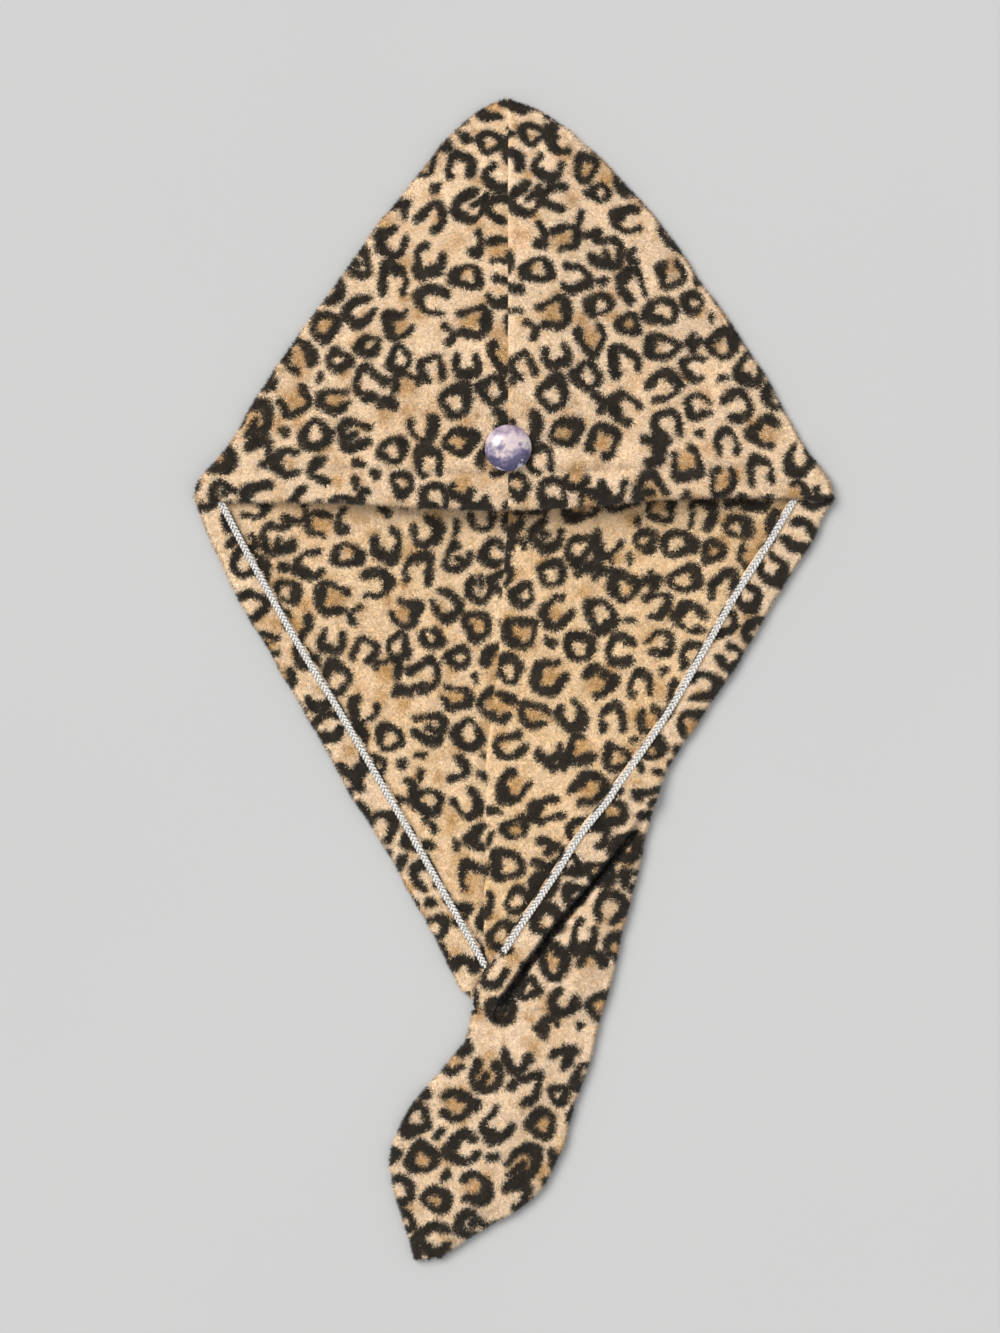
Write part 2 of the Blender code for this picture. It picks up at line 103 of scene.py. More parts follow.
HOOD_COLUMNS = ("up", "left", "right")
HOOD_SIDES = (
    (0.00, 1.000, 1.000),
    (0.05, 0.980, 0.985),
    (0.14, 0.885, 0.905),
    (0.26, 0.800, 0.825),
    (0.38, 0.695, 0.735),
    (0.50, 0.585, 0.632),
    (0.62, 0.475, 0.532),
    (0.73, 0.370, 0.425),
    (0.81, 0.285, 0.332),
    (0.88, 0.220, 0.248),
    (0.94, 0.142, 0.160),
    (0.98, 0.075, 0.072),
    (1.00, 0.000, 0.000),
)
MOUTH_COLUMNS = ("down", "left", "right", "seam", "strip", "left_hem", "right_hem")
MOUTH_SIDES = (
    (0.00, 0.000, 0.000, 0.494, 1.00, 0.96, 1.39),
    (0.09, 0.068, 0.105, 0.492, 1.00, 1.12, 1.50),
    (0.18, 0.148, 0.230, 0.490, 1.00, 1.22, 1.53),
    (0.30, 0.272, 0.388, 0.484, 1.00, 1.25, 1.49),
    (0.42, 0.405, 0.565, 0.468, 1.00, 1.28, 1.33),
    (0.53, 0.515, 0.720, 0.450, 1.00, 1.35, 1.41),
    (0.58, 0.568, 0.765, 0.442, 1.00, 1.36, 1.66),
    (0.65, 0.652, 0.805, 0.405, 0.93, 1.29, 1.68),
    (0.73, 0.740, 0.850, 0.360, 0.83, 1.24, 1.50),
    (0.81, 0.822, 0.892, 0.300, 0.68, 1.25, 1.25),
    (0.91, 0.920, 0.944, 0.225, 0.44, 1.30, 1.04),
    (1.00, 1.000, 1.000, 0.200, 0.18, 1.30, 0.92),
)
TAIL_COLUMNS = ("down", "left", "right", "seam")
TAIL_SIDES = (
    (0.00, -0.280, 0.720, 0.200),
    (0.12, -0.330, 0.662, 0.230),
    (0.24, -0.495, 0.598, 0.270),
    (0.36, -0.705, 0.510, 0.310),
    (0.48, -0.835, 0.452, 0.350),
    (0.60, -0.905, 0.372, 0.380),
    (0.72, -0.872, 0.255, 0.410),
    (0.80, -0.820, 0.080, 0.440),
    (0.90, -0.760, -0.255, 0.480),
    (1.00, -0.715, -0.520, 0.560),
)
FRONT_COLUMNS = ("across", "drop")
FRONT_EDGE = (
    (0.00, 0.00),
    (0.20, 0.02),
    (0.45, 0.28),
    (0.58, 0.22),
    (0.72, -0.03),
    (0.90, -0.14),
    (1.00, -0.09),
)
RIDGE_COLUMNS = ("up", "height")
RIDGE = ((0.00, 0.80), (0.30, 1.00), (0.70, 0.78), (1.00, 0.50))


def through(steps, values, at):
    """Smooth curve through values that stand at the given steps."""
    steps = np.asarray(steps)
    values = np.asarray(values)
    slopes = np.gradient(values, steps)
    cell = np.clip(np.searchsorted(steps, at, side="right") - 1, 0, len(steps) - 2)
    width = steps[cell + 1] - steps[cell]
    t = (at - steps[cell]) / width
    rise = values[cell + 1] - values[cell]
    start = slopes[cell] * width
    end = slopes[cell + 1] * width
    square, cube = 3 * rise - 2 * start - end, start + end - 2 * rise
    return values[cell] + t * start + t * t * square + t**3 * cube


def column(table, names, name):
    return [row[names.index(name)] for row in table]


def read(table, names, name, at):
    return through(column(table, names, names[0]), column(table, names, name), at)


def ease(value):
    value = np.clip(value, 0.0, 1.0)
    return value * value * (3 - 2 * value)


def turned(x, y, turn):
    return x * math.cos(turn) - y * math.sin(turn), x * math.sin(turn) + y * math.cos(turn)


def unit(vectors):
    """The vectors at length one."""
    return vectors / np.maximum(np.linalg.norm(vectors, axis=-1, keepdims=True), 1e-15)


WAVES = 9


def waves(x, y, size, seed):
    """Smooth random field from -1 to 1 whose bumps are about size across, in metres."""
    draw = np.random.default_rng(seed)
    total = 0
    for _ in range(WAVES):
        turn = draw.uniform(0, math.tau)
        number = math.tau / (size * draw.uniform(0.7, 1.7))
        phase = draw.uniform(0, math.tau)
        total = total + np.sin((x * math.cos(turn) + y * math.sin(turn)) * number + phase)
    return total / (WAVES / 2)


# The same surfaces as the solids, read at finer steps


def hood_edge(side, step):
    steps = np.linspace(0, 1, len(HOOD_SIDES))
    out = through(steps, column(HOOD_SIDES, HOOD_COLUMNS, SIDE_NAME[side]), step)
    up = through(steps, column(HOOD_SIDES, HOOD_COLUMNS, "up"), step)
    return np.array([side * REACH[side] * out, HOOD_LENGTH * up])


def side_edge(side, down):
    name = SIDE_NAME[side]
    if down > 1:
        share = read(TAIL_SIDES, TAIL_COLUMNS, name, down - 1)
        return np.array([TAIL_WIDTH * share, -MOUTH_LENGTH - TAIL_LENGTH * (down - 1)])
    corner = hood_edge(side, 0)[0]
    root = TAIL_WIDTH * column(TAIL_SIDES, TAIL_COLUMNS, name)[0]
    way = read(MOUTH_SIDES, MOUTH_COLUMNS, name, down)
    return np.array([corner + (root - corner) * way, -MOUTH_LENGTH * down])


def across(down, share):
    left = side_edge(-1, down)[0]
    return left + (side_edge(1, down)[0] - left) * share


def seam_x(down):
    if down > 1:
        return across(down, read(TAIL_SIDES, TAIL_COLUMNS, "seam", down - 1))
    return across(down, read(MOUTH_SIDES, MOUTH_COLUMNS, "seam", down))


def hem_edge(side, down):
    edge = side_edge(side, down)
    if side > 0:
        share = min(read(MOUTH_SIDES, MOUTH_COLUMNS, "strip", down), 1.0)
        edge = np.array([across(down, share), edge[1]])
    return edge


def leaving(edge, side, at):
    run = edge(side, at + NUDGE) - edge(side, at - NUDGE)
    square = np.array([run[1], -run[0]]) / np.linalg.norm(run)
    return square if side * square[0] > 0 else -square


def hem_inner(side, down):
    width = SIDE_HEM * read(MOUTH_SIDES, MOUTH_COLUMNS, SIDE_NAME[side] + "_hem", down)
    inner = hem_edge(side, down)[0] - side * width
    if side > 0:
        return inner
    return min(inner, hem_inner(1, down) - GROUND)


def fold_radius(up):
    corner = 1 - ease(up * HOOD_LENGTH / FRONT_HEM - 1)
    return FOLD_RADIUS + (FRONT_STEP - FOLD_RADIUS) * corner


def lumps(x, y):
    """How far an edge of loose cloth wanders in and out."""
    return 0.45 * MM * waves(x, y, 0.022, 61) + 0.25 * MM * waves(x, y, 0.008, 62)


def hood_turns(side, step):
    edge = hood_edge(side, step)
    up = edge[1] / HOOD_LENGTH
    away = np.array([0.0, 1.0]) if step > 1 - NUDGE else leaving(hood_edge, side, step)
    radius = fold_radius(up)
    turn = edge - away * (radius + GROUND / 2 + 0.5 * MM - lumps(*edge))
    start = np.array([side * SEAM_SET, edge[1] * (1 - APEX_FAN)])
    return turn, start, up, away, radius


def hood_top(side, step, share):
    """Points in the middle of the hood's upper ply, for an array of shares."""
    turn, start, up, _, _ = hood_turns(side, step)
    x = turn[0] + (start[0] - turn[0]) * share
    y = turn[1] + (start[1] - turn[1]) * share
    ridge = read(RIDGE, RIDGE_COLUMNS, "height", up)
    swell = ridge * np.sin(math.pi / 2 * share**SWELL_POWER) ** 2
    swell = swell + LEAN[side] * np.sin(math.pi * share) * (1 - up) ** 2
    near_tip = ease((up - GATHER_START) / (GATHER_FULL - GATHER_START)) * np.sin(math.pi * share) ** 2
    gathers = math.sin(math.pi * up) * math.cos(2 * math.pi * step * GATHERS)
    off_stitch = (up * HOOD_LENGTH / FRONT_HEM - 1) / STITCH_WIDTH
    stitch = math.exp(-(off_stitch**2)) * ease(share * SOFT_START)
    z = CLOTH / 2 + 2 * fold_radius(up) + HOOD_PUFF * swell
    z = z + GATHER_DEPTH * near_tip * gathers - STITCH_DIP * stitch
    below_tip = 1 - ease((up - 0.85) / 0.15)
    z = z + soft_folds(x, y) * ease(share * SOFT_START) * below_tip
    z = z - SEAM_DEPTH * np.exp(-((x / SEAM_HALF) ** 2))
    way = (x + LEFT_REACH) / (LEFT_REACH + RIGHT_REACH)
    drop = FRONT_HEM * read(FRONT_EDGE, FRONT_COLUMNS, "drop", way)
    drop = drop * ease(share * 2 * SOFT_START)
    fade = max(1 - up * HOOD_LENGTH / (3 * FRONT_HEM), 0.0) ** 2
    return np.stack([side * np.maximum(side * x, SEAM_SET), y - drop * fade, z], axis=1)


def soft_folds(x, y):
    """Shallow dents and swells of cloth that lies loosely."""
    return 0.55 * MM * waves(x, y, 0.055, 3) + 0.25 * MM * waves(x, y, 0.02, 4)


def ring(turn, away, radius, angles, low=CLOTH / 2):
    """Points of a half turn of cloth at an edge."""
    out = radius * np.sin(angles)
    rise = low + radius * (1 - np.cos(angles))
    return np.stack([turn[0] + away[0] * out, turn[1] + away[1] * out, rise], axis=1)


def flat(start, end, shares):
    x = start[0] + (end[0] - start[0]) * shares
    y = start[1] + (end[1] - start[1]) * shares
    return np.stack([x, y, CLOTH / 2 + 0 * x], axis=1)


def lower_lift(points, seam):
    """The lower ply's soft waves, which never go below the floor."""
    x, y = points[:, 0], points[:, 1]
    wave = 0.5 * MM * (1 + waves(x, y, 0.05, 9)) + 0.2 * MM * waves(x, y, 0.018, 10)
    cells_in = np.arange(len(x))
    edge = ease(np.minimum(cells_in, len(x) - 1 - cells_in) / 5)
    groove = 0.3 * MM * np.exp(-(((x - seam) / (2.0 * MM)) ** 2))
    points[:, 2] += np.maximum(wave, 0) * edge - groove
    return points


def tail_top(down, x, right, left):
    """Height of the tail's upper ply, which swells between its right and left edges."""
    if down < 1:
        left = hem_edge(1, down)[0]
        swell = ease((down - KINK) / TAIL_SWELL_RUN)
    else:
        swell = (1 - TAIL_LEAST_SWELL) * ease((down - 1) / TAIL_SWELL_RUN)
        swell = TAIL_LEAST_SWELL + swell * ease((2 - down) / TAIL_SWELL_RUN)
    width = max(right - left - 2 * CLOTH, GROUND)
    share = np.clip((right - x) / width, 0, 1)
    swell = swell * min(width / (TAIL_WIDTH / 4), 1.0)
    return CLOTH / 2 + 2 * FOLD_RADIUS + TAIL_PUFF * swell * np.sin(math.pi * share) ** 2


def hem_height(side, down):
    climb = ease((down - CLIMB_START) / (CLIMB_END - CLIMB_START)) if side > 0 else 0.0
    return CLOTH / 2 + PLY_STEP + 2 * FOLD_RADIUS * climb


def hem_low(side, down):
    """Height of a side hem's lower leg, which climbs onto the tail at the kink."""
    climb = ease((down - KINK + 0.015) / 0.03) if side > 0 else 0.0
    return CLOTH / 2 + (2 * FOLD_RADIUS + 1.2 * MM) * climb


# A panel's row of cells: lower ply, fold at the side, upper ply, roll at the tail's left side
LOWER_CELLS = 52
FOLD_CELLS = 8
UPPER_CELLS = 56
ROLL_CELLS = 8
LOWER_SHARES = np.linspace(0, 1, LOWER_CELLS + 1)
FOLD_ANGLES = np.linspace(0, math.pi, FOLD_CELLS + 1)
UPPER_SHARES = np.linspace(0, 1, UPPER_CELLS + 1)
ROLL_ANGLES = np.linspace(math.pi, 0, ROLL_CELLS + 1)[1:]


def gone(count):
    """Places of a row where there is no cloth."""
    return np.full((count, 3), np.nan)


def hood_row(side, step):
    turn, start, _, away, radius = hood_turns(side, step)
    lower, upper = flat(start, turn, LOWER_SHARES), hood_top(side, step, UPPER_SHARES)
    points = np.concatenate([lower, ring(turn, away, radius, FOLD_ANGLES[1:-1]), upper])
    points[:, 0] = side * np.maximum(side * points[:, 0], SEAM_SET)
    return np.concatenate([points, gone(ROLL_CELLS)])


def lower_row(side, down):
    edge = side_edge(side, down)
    away = leaving(side_edge, side, down)
    seam = seam_x(down)
    start = np.array([seam + side * SEAM_SET, edge[1]])
    if side < 0 and down >= ROLL_START:
        inset = FOLD_RADIUS + CLOTH / 2 + 2 * MM
    elif side > 0 and down >= KINK:
        inset = FOLD_RADIUS + CLOTH / 2 - 0.2 * MM
    else:
        inset = (hem_height(side, down) - hem_low(side, down)) / 2 + GROUND / 2
    turn = edge - away * (inset + 0.2 * MM - lumps(*edge))
    points = lower_lift(flat(start, turn, LOWER_SHARES), seam)
    if side < 0 or down < KINK:
        return np.concatenate([points, gone(FOLD_CELLS + UPPER_CELLS + ROLL_CELLS)])
    left_away = leaving(side_edge, -1, max(down, 1.0 + NUDGE))
    left_edge = side_edge(-1, down)
    left_turn = left_edge - left_away * (FOLD_RADIUS + CLOTH / 2 - lumps(*left_edge))
    end = left_turn
    if down < 1:
        end = np.array([max(hem_inner(1, down) + 1.5 * MM, left_turn[0]), edge[1]])
    upper = flat(turn, end, UPPER_SHARES)
    upper[:, 2] = tail_top(down, upper[:, 0], turn[0], end[0])
    loose = ease(UPPER_SHARES * SOFT_START) * ease((1 - UPPER_SHARES) * SOFT_START)
    visible = ease((down - 1) / 0.1)
    upper[:, 2] += 0.8 * soft_folds(upper[:, 0], upper[:, 1]) * loose * visible
    upper[:, 2] -= tail_crease(upper[:, 0], upper[:, 1]) * loose
    if down < 1.1:
        upper[:, 2] -= VALLEY_DEPTH * hem_valley(upper[:, 0], down)
    parts = [points, ring(turn, away, FOLD_RADIUS, FOLD_ANGLES[1:-1]), upper]
    roll = ring(left_turn, left_away, FOLD_RADIUS, ROLL_ANGLES) if down >= 1 else gone(ROLL_CELLS)
    return np.concatenate([*parts, roll])


VALLEY_DEPTH = 2.3 * MM
VALLEY_HALF = 3.4 * MM
VALLEY_BESIDE = 2.8 * MM
VALLEY_SLANT = 0.08
VALLEY_DOWNS = np.linspace(KINK, 1.04, 40)
VALLEY_X = np.array(
    [hem_edge(1, min(down, 1.0))[0] - VALLEY_SLANT * max(down - 1, 0) for down in VALLEY_DOWNS]
)
# Strength of the painted shade that darkens the colour in the crease beside the tail's hem
VALLEY_SHADE = 2.2


def hem_valley(x, down):
    """1 in the deep crease between the right hem's fold and the tail, 0 away from it."""
    middle = np.interp(down, VALLEY_DOWNS, VALLEY_X) + VALLEY_BESIDE
    along = ease((down - KINK - 0.03) / 0.09) * ease((1.05 - down) / 0.06)
    return along * np.exp(-(((x - middle) / VALLEY_HALF) ** 4))


CREASE_TOP = (0.059, -0.2115)
CREASE_FOOT = (0.0135, -0.2565)
CREASE_FADE = 0.02
CREASE_DEPTH = 0.9 * MM
CREASE_HALF = 2.5 * MM


def tail_crease(x, y):
    """Depth of a shallow crease that runs down the tail from below the kink."""
    (top_x, top_y), (foot_x, foot_y) = CREASE_TOP, CREASE_FOOT
    way = np.clip((top_y - y) / (top_y - foot_y), 0, 1)
    middle = top_x - (top_x - foot_x) * way**0.8
    along = np.exp(-((((top_y + foot_y) / 2 - y) / CREASE_FADE) ** 2))
    return CREASE_DEPTH * along * np.exp(-(((x - middle) / CREASE_HALF) ** 2))


FRONT_ROUND = 1.2 * MM
FINE_STEPS = np.linspace(0, 1, 500)
FINE_HEIGHTS = [hood_edge(1, step)[1] for step in FINE_STEPS]


def panel_grid(side):
    """Rows of a panel from the hood's tip to the tail's tip, and how many belong to the hood."""
    near = np.interp(np.linspace(FRONT_ROUND, 1.6 * FRONT_HEM, 18), FINE_HEIGHTS, FINE_STEPS)
    steps = list(near) + list(np.linspace(near[-1], 1, 74)[1:])
    rows = [hood_row(side, step) for step in steps[::-1]]
    downs = [-0.6 * MM / MOUTH_LENGTH] + list(np.linspace(0.01, KINK - 0.004, 48))
    downs += list(np.linspace(KINK, 1, 36)) + list(np.linspace(1, 2, 66)[1:])
    rows += [lower_row(side, down) for down in downs]
    return np.array(rows), len(steps)


STRIP_CELLS = 12


def side_hem_grid(side, end):
    rows = []
    for down in np.linspace(-0.004, end, 150):
        edge = hem_edge(side, down)
        away = leaving(hem_edge, side, down)
        low, high = hem_low(side, down), hem_height(side, down)
        radius = (high - low) / 2
        turn = edge - away * (radius + GROUND / 2 + 0.2 * MM - lumps(*edge))
        bend = ring(turn, away, radius, FOLD_ANGLES, low)
        inner = hem_inner(side, down) + side * GROUND / 2
        strip_x = np.linspace(turn[0], inner, STRIP_CELLS + 1)[1:]
        puff = 0.5 * MM * np.sin(np.linspace(0, math.pi, STRIP_CELLS + 1)[1:])
        rise = high + puff + 0.2 * MM * waves(strip_x, edge[1], 0.02, 21)
        strip = np.stack([strip_x, turn[1] + 0 * strip_x, rise], axis=1)
        row = np.concatenate([bend, strip])
        if side > 0:
            at_edge = np.exp(-(((row[:, 0] - edge[0]) / (4 * MM)) ** 2))
            row[:, 2] += 0.9 * MM * ease((down - KINK) / 0.05) * at_edge
            row[:, 2] -= 2.0 * MM * ease((down - 0.925) / 0.05)
        rows.append(row)
    return np.array(rows)


def front_hem_grid():
    first = float(np.interp(FRONT_ROUND, FINE_HEIGHTS, FINE_STEPS))
    shares = np.linspace(0.008, 1, UPPER_CELLS + 1)

    def whole(step):
        return np.concatenate([hood_top(-1, step, shares), hood_top(1, step, shares)[::-1]])

    edge = whole(first)
    radius = FRONT_STEP / 2
    rows = []
    for angle in FOLD_ANGLES:
        row = edge.copy()
        row[:, 1] -= radius * math.sin(angle)
        row[:, 2] -= radius * (1 - math.cos(angle))
        rows.append(row)
    for y in np.linspace(FRONT_ROUND, FRONT_HEM, 10)[1:]:
        row = whole(float(np.interp(y, FINE_HEIGHTS, FINE_STEPS)))
        row[:, 2] -= FRONT_STEP
        rows.append(row)
    return np.array(rows)


# The printed pattern, drawn once into a sheet that repeats, in millimetres

SHEET = 420.0
SHEET_CELL = 0.35
FILL = 1.02

# Kinds of mark. weight: how often, size: radius to the middle of the stroke, gap: degrees
# left open, stroke: half width, long: length over width, bar: share with a short bar
# across, fill: share with a brown middle
MARK_COLUMNS = ("weight", "size", "gap", "stroke", "long", "bar", "fill")
MARKS = (
    (0.20, 5.9, 0, 2.95, 1.25, 0.00, 0.22),
    (0.09, 4.3, 0, 2.75, 1.15, 0.00, 0.10),
    (0.17, 6.5, 85, 3.00, 1.25, 0.20, 0.40),
    (0.15, 6.6, 130, 3.15, 1.30, 0.15, 0.30),
    (0.12, 6.6, 205, 3.25, 1.30, 0.10, 0.10),
    (0.14, 1.0, 0, 2.90, 1.50, 0.00, 0.00),
    (0.14, 5.4, 245, 3.25, 1.35, 0.15, 0.00),
)
MOST_MARKS = 1400
PUSHES = 160
MARK_REACH = 17
FAR = 9.0
HALF_OPEN = 180
DOT_SIZE = 3
MARK_GAP = 1.3
ARC_SHARE = 0.72
ARC_SHIFT = 1.3


def wrap(value):
    return (value + SHEET / 2) % SHEET - SHEET / 2


def place_marks():
    """Marks thrown on the sheet and pushed apart until they hardly touch: (kind, scale, place)."""
    draw = np.random.default_rng(8)
    weights, sizes, gaps, strokes, longer = (
        np.array(column(MARKS, MARK_COLUMNS, name)) for name in MARK_COLUMNS[:5]
    )
    outer = sizes * np.where(gaps > HALF_OPEN, ARC_SHARE, 1.0) + strokes
    kinds = draw.choice(len(MARKS), MOST_MARKS, p=weights / weights.sum())
    scales = draw.uniform(0.82, 1.12, len(kinds))
    reach = (outer * longer**0.4)[kinds] * scales + MARK_GAP / 2
    count = int(np.searchsorted(np.cumsum(math.pi * reach**2), FILL * SHEET**2))
    kinds, scales, reach = kinds[:count], scales[:count], reach[:count]
    spots = draw.uniform(0, SHEET, (count, 2))
    apart = reach[:, None] + reach[None]
    for _ in range(PUSHES):
        gap = wrap(spots[:, None] - spots[None])
        distance = np.sqrt((gap**2).sum(axis=2)) + np.eye(count) * SHEET
        push = np.clip(apart - distance, 0, None)[..., None] * gap / distance[..., None]
        spots = (spots + 0.3 * push.sum(axis=1)) % SHEET
    return kinds, scales, spots


def draw_sheet():
    """Distance to the nearest dark stroke, and the strength of the brown smudges."""
    size = int(SHEET / SHEET_CELL)
    ink = np.full((size, size), FAR)
    brown = np.zeros((size, size))
    draw = np.random.default_rng(12)
    reach = int(MARK_REACH / SHEET_CELL)
    window = np.arange(-reach, reach + 1)
    for kind, scale, (cx, cy) in zip(*place_marks()):
        mark = dict(zip(MARK_COLUMNS, MARKS[kind]))
        size_here, thick = mark["size"] * scale, mark["stroke"] * min(scale, 1.0)
        i, j = int(cx / SHEET_CELL), int(cy / SHEET_CELL)
        x, y = np.meshgrid((window + i) * SHEET_CELL - cx, (window + j) * SHEET_CELL - cy, indexing="ij")
        wx, wy = (x + cx) * MM, (y + cy) * MM
        x = x + 0.8 * waves(wx, wy, 0.013, 31)
        y = y + 0.8 * waves(wx, wy, 0.013, 32)
        u, v = turned(x, y, -draw.uniform(0, math.tau))
        if draw.uniform() < 0.5:
            u, v = v, u
        stretch = math.sqrt(1 + (mark["long"] - 1) * draw.uniform(0.2, 1.6))
        u, v = u / stretch, v * stretch
        if mark["gap"] > HALF_OPEN:
            u = size_here * (1 - ARC_SHARE) * ARC_SHIFT - u
        angle = np.arctan2(v, u)
        heavy = draw.uniform(0, math.tau, 4)
        knobbly = 1 + 0.09 * np.cos(3 * angle - heavy[2]) + 0.06 * np.cos(4 * angle - heavy[3])
        distance = np.hypot(u, v)
        half = thick * (1 + 0.2 * np.cos(angle - heavy[0]) + 0.13 * np.cos(2 * angle - heavy[1]))
        stroke = np.abs(distance - size_here * knobbly) - half
        if mark["gap"]:
            open_half = math.radians(mark["gap"] * draw.uniform(0.85, 1.15)) / 2
            tip_u, tip_v = size_here * math.cos(open_half), size_here * math.sin(open_half)
            tip = np.hypot(u - tip_u, np.minimum(np.abs(v - tip_v), np.abs(v + tip_v))) - thick
            stroke = np.where(np.abs(angle) < open_half, tip, stroke)
        if mark["size"] < DOT_SIZE:
            stroke = distance - (size_here + thick) * knobbly * draw.uniform(0.75, 1.0)
        if draw.uniform() < mark["bar"]:
            along, beside = turned(u, v, -draw.uniform(0, math.tau))
            bar = np.hypot(along - np.clip(along, 0, size_here), beside) - thick * 0.8
            stroke = np.minimum(stroke, bar)
        where = np.ix_((window + i) % size, (window + j) % size)
        ink[where] = np.minimum(ink[where], stroke)
        if draw.uniform() < mark["fill"]:
            soft = np.exp(-((distance / (size_here * 0.9)) ** 2))
            brown[where] = np.maximum(brown[where], soft)
        if draw.uniform() < 0.8:
            bx, by = draw.normal(0, 7.5, 2)
            wide = draw.uniform(2.4, 4.8)
            flatter = draw.uniform(0.7, 1.4)
            soft = np.exp(-(((x - bx) ** 2 + ((y - by) * flatter) ** 2) / wide**2))
            brown[where] = np.maximum(brown[where], soft * draw.uniform(0.5, 1.0))
    return ink, brown


INK, BROWN = draw_sheet()

# How each region of cloth was cut from the print: degrees turned, shift in mm, mirrored,
# and how many mm the marks' strokes lose on each side
CUT_COLUMNS = ("turn", "x", "y", "flip", "thin")
CUTS = {
    "hood_left": (6, 150, 190, 1, 0.06),
    "hood_right": (-6, 92, 186, 1, 0.14),
    "mouth_left": (-4, 40, 330, -1, 0.20),
    "mouth_right": (5, 260, 300, -1, 0.06),
    "tail": (24, 300, 95, 1, -0.10),
    "left_hem": (-30, 20, 60, 1, 0.10),
    "right_hem": (24, 300, 95, 1, -0.10),
    "under": (0, 210, 10, 1, 0.0),
}


def printed(region, x, y):
    """Distance to ink in mm and strength of brown at places in the floor plane."""
    cut = dict(zip(CUT_COLUMNS, CUTS[region]))
    turn = math.radians(cut["turn"])
    u, v = turned(x / MM * cut["flip"], y / MM, turn)
    size = INK.shape[0]
    fi = ((u + cut["x"]) / SHEET_CELL) % size
    fj = ((v + cut["y"]) / SHEET_CELL) % size
    i, j = fi.astype(int) % size, fj.astype(int) % size
    next_i, next_j = (i + 1) % size, (j + 1) % size
    fi, fj = fi - np.floor(fi), fj - np.floor(fj)
    found = []
    for field in (INK, BROWN):
        low = field[i, j] * (1 - fi) + field[next_i, j] * fi
        high = field[i, next_j] * (1 - fi) + field[next_i, next_j] * fi
        found.append(low * (1 - fj) + high * fj)
    return found[0] + cut["thin"], found[1]


# Row frame: the solids' origin, read from where the button stands
button_low, button_high = (np.array(corner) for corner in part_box("button"))
button_middle = (button_low + button_high) / 2
ORIGIN = np.array([-button_middle[0], BUTTON_UP - button_middle[1], 0.0])


def stand(name, data):
    """Object of the scene that shows the given mesh, lamp or camera."""
    thing = bpy.data.objects.new(name, data)
    bpy.context.scene.collection.objects.link(thing)
    return thing


def make_mesh(name, corners, faces, attributes, material):
    """Mesh of same-sided faces, with numbers stored at its corners."""
    mesh = bpy.data.meshes.new(name)
    corners = np.asarray(corners, dtype=np.float32) - ORIGIN.astype(np.float32)
    faces = np.asarray(faces, dtype=np.int32)
    mesh.vertices.add(len(corners))
    mesh.vertices.foreach_set("co", corners.ravel())
    mesh.loops.add(faces.size)
    mesh.loops.foreach_set("vertex_index", faces.ravel())
    mesh.polygons.add(len(faces))
    mesh.polygons.foreach_set("loop_start", np.arange(len(faces), dtype=np.int32) * faces.shape[1])
    mesh.update(calc_edges=True)
    mesh.validate()
    for key, values in attributes.items():
        stored = mesh.attributes.new(key, "FLOAT", "POINT")
        stored.data.foreach_set("value", np.asarray(values, dtype=np.float32))
    mesh.materials.append(material)
    mesh.shade_smooth()
    return stand(name, mesh)


def grid_normals(points):
    """(cell present, cell normals with their area, corner normals)."""
    a, b, c, d = points[:-1, :-1], points[:-1, 1:], points[1:, 1:], points[1:, :-1]
    cross = np.cross(c - a, d - b) / 2
    present = ~np.isnan(cross).any(axis=2)
    cross = np.where(present[..., None], cross, 0)
    corner = np.zeros(points.shape)
    for rows in (slice(None, -1), slice(1, None)):
        for places in (slice(None, -1), slice(1, None)):
            corner[rows, places] += unit(cross)
    return present, cross, unit(corner)


def sheet_parts(points, thickness):
    """Corners and quads of a closed sheet round a grid of middle points, with rounded edges."""
    present, _, normal = grid_normals(points)
    rows, places = points.shape[:2]
    index = np.arange(rows * places).reshape(rows, places)
    a, b, c, d = index[:-1, :-1], index[:-1, 1:], index[1:, 1:], index[1:, :-1]
    total = rows * places
    quads = [np.stack([a, b, c, d], axis=2)[present]]
    quads.append(np.stack([d, c, b, a], axis=2)[present] + total)
    padded = np.pad(present, 1)
    away = np.zeros((total, 3))
    flat_points, flat_normals = points.reshape(-1, 3), normal.reshape(-1, 3)
    rim = []
    cell_edges = ((a, b, -1, 0), (b, c, 0, 1), (c, d, 1, 0), (d, a, 0, -1))
    for first, second, di, dj in cell_edges:
        beside = padded[1 + di : rows + di, 1 + dj : places + dj]
        edge = present & ~beside
        start, end = first[edge], second[edge]
        out = unit(np.cross(flat_points[end] - flat_points[start], flat_normals[start]))
        np.add.at(away, start, out)
        np.add.at(away, end, out)
        rim.append(np.stack([start, end], axis=1))
    rim = np.concatenate(rim)
    start, end = rim[:, 0], rim[:, 1]
    quads.append(np.stack([end, start, start + 2 * total, end + 2 * total], axis=1))
    quads.append(np.stack([end + 2 * total, start + 2 * total, start + total, end + total], axis=1))
    half = flat_normals * thickness / 2
    rounded = flat_points + unit(away) * thickness * 0.4
    corners = np.concatenate([flat_points + half, flat_points - half, rounded])
    quads = np.concatenate(quads)
    used = np.unique(quads)
    renumber = np.full(3 * total, -1)
    renumber[used] = np.arange(len(used))
    return corners[used], renumber[quads], used, total


def clear_valley(x, y):
    """0 in the crease beside the tail's hem, 1 away from it."""
    return 1 - hem_valley(x, -y / MOUTH_LENGTH)


def valley_shade(x, y):
    """Painted shade: how much the colour is darkened in the crease beside the tail's hem."""
    return VALLEY_SHADE * ease(2.0 * hem_valley(x, -y / MOUTH_LENGTH) - 0.35)


